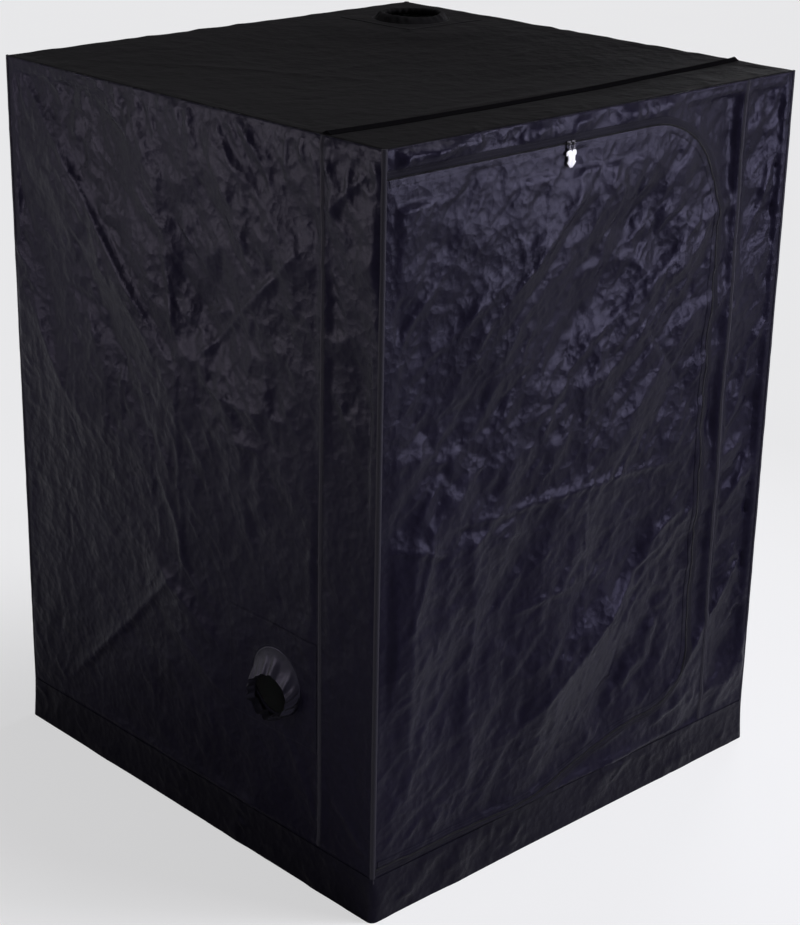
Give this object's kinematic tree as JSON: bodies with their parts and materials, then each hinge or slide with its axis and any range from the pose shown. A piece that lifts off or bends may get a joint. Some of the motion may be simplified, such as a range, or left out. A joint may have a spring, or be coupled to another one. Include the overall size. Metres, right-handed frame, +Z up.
{
  "type": "indoor grow tent",
  "caption": "Square indoor grow tent: steel pole frame in a dark cloth cover with a D-shaped zip door, cuffed duct ports and hooked roof bars.",
  "frame": {"origin": "middle of the underside of the floor cloth, on the ground", "axes": "+Z up, -Y towards the zip door, -X towards the wall with the low duct port"},
  "size_m": [1.5608, 1.5195, 2.0265],
  "materials": {
    "cover_cloth": "coated oxford cloth, satin",
    "base_cloth": "heavier coated floor cloth, satin",
    "tape_weave": "woven tape, matt",
    "frame_paint": "white powder coat",
    "corner_plastic": "moulded, fine grain",
    "slider_metal": "dark plated",
    "pull_plastic": "moulded, smooth"
  },
  "bodies": {
    "shell": {"corner_connector_bottom_front_left": "corner_plastic", "corner_connector_bottom_front_right": "corner_plastic", "corner_connector_bottom_back_left": "corner_plastic", "corner_connector_bottom_back_right": "corner_plastic", "corner_connector_top_front_left": "corner_plastic", "corner_connector_top_front_right": "corner_plastic", "corner_connector_top_back_left": "corner_plastic", "corner_connector_top_back_right": "corner_plastic", "upright_lower_front_left": "frame_paint", "upright_lower_front_right": "frame_paint", "upright_lower_back_left": "frame_paint", "upright_lower_back_right": "frame_paint", "upright_upper_front_left": "frame_paint", "upright_upper_front_right": "frame_paint", "upright_upper_back_left": "frame_paint", "upright_upper_back_right": "frame_paint", "bottom_rail_front": "frame_paint", "bottom_rail_back": "frame_paint", "bottom_rail_left": "frame_paint", "bottom_rail_right": "frame_paint", "top_rail_front": "frame_paint", "top_rail_back": "frame_paint", "top_rail_left": "frame_paint", "top_rail_right": "frame_paint", "base_band_front": "base_cloth", "base_band_back": "base_cloth", "base_band_left": "base_cloth", "base_band_right": "base_cloth", "corner_binding_front_left": "tape_weave", "corner_binding_front_right": "tape_weave", "corner_binding_back_left": "tape_weave", "corner_binding_back_right": "tape_weave", "left_wall": "cover_cloth", "left_wall_front_strip": "cover_cloth", "right_wall": "cover_cloth", "back_wall": "cover_cloth", "front_surround": "cover_cloth", "front_right_strip": "cover_cloth", "roof_panel": "cover_cloth", "roof_front_strip": "cover_cloth", "wall_port_patch": "cover_cloth", "wall_port_cuff": "cover_cloth", "roof_port_patch": "cover_cloth", "roof_port_cuff": "cover_cloth", "floor_panel": "base_cloth", "zip_tape_surround": "tape_weave"},
    "door": {"door_panel": "cover_cloth", "zip_tape_door": "tape_weave"},
    "slider_left": {"zip_slider_left": "slider_metal"},
    "slider_right": {"zip_slider_right": "slider_metal"},
    "pull_left": {"zip_pull_left": "pull_plastic"},
    "pull_right": {"zip_pull_right": "pull_plastic"},
    "bar_front": {"roof_bar_front": "frame_paint", "roof_bar_front_hook_left": "corner_plastic", "roof_bar_front_hook_right": "corner_plastic"},
    "bar_back": {"roof_bar_back": "frame_paint", "roof_bar_back_hook_left": "corner_plastic", "roof_bar_back_hook_right": "corner_plastic"}
  },
  "joints": [
    {"name": "door_swing", "type": "hinge", "parent": "shell", "child": "door", "pos_m": [-0.73925, -0.75145, 0], "axis": [0, 0, -1], "range_deg": [0, 170]},
    {"name": "slider_left_slide", "type": "slide", "parent": "door", "child": "slider_left", "axis": [1, 0, 0], "range_m": [-0.57, 0]},
    {"name": "slider_right_slide", "type": "slide", "parent": "door", "child": "slider_right", "axis": [1, 0, 0], "range_m": [0, 0.285]},
    {"name": "pull_left_lift", "type": "hinge", "parent": "slider_left", "child": "pull_left", "pos_m": [-0.14508, -0.7585, 1.93], "axis": [-1, 0, 0], "range_deg": [0, 150]},
    {"name": "pull_right_lift", "type": "hinge", "parent": "slider_right", "child": "pull_right", "pos_m": [-0.13008, -0.7585, 1.93], "axis": [-1, 0, 0], "range_deg": [0, 150]},
    {"name": "bar_front_slide", "type": "slide", "parent": "shell", "child": "bar_front", "axis": [0, 1, 0], "range_m": [-0.43, 0.22]},
    {"name": "bar_back_slide", "type": "slide", "parent": "shell", "child": "bar_back", "axis": [0, 1, 0], "range_m": [-0.22, 0.43]}
  ]
}
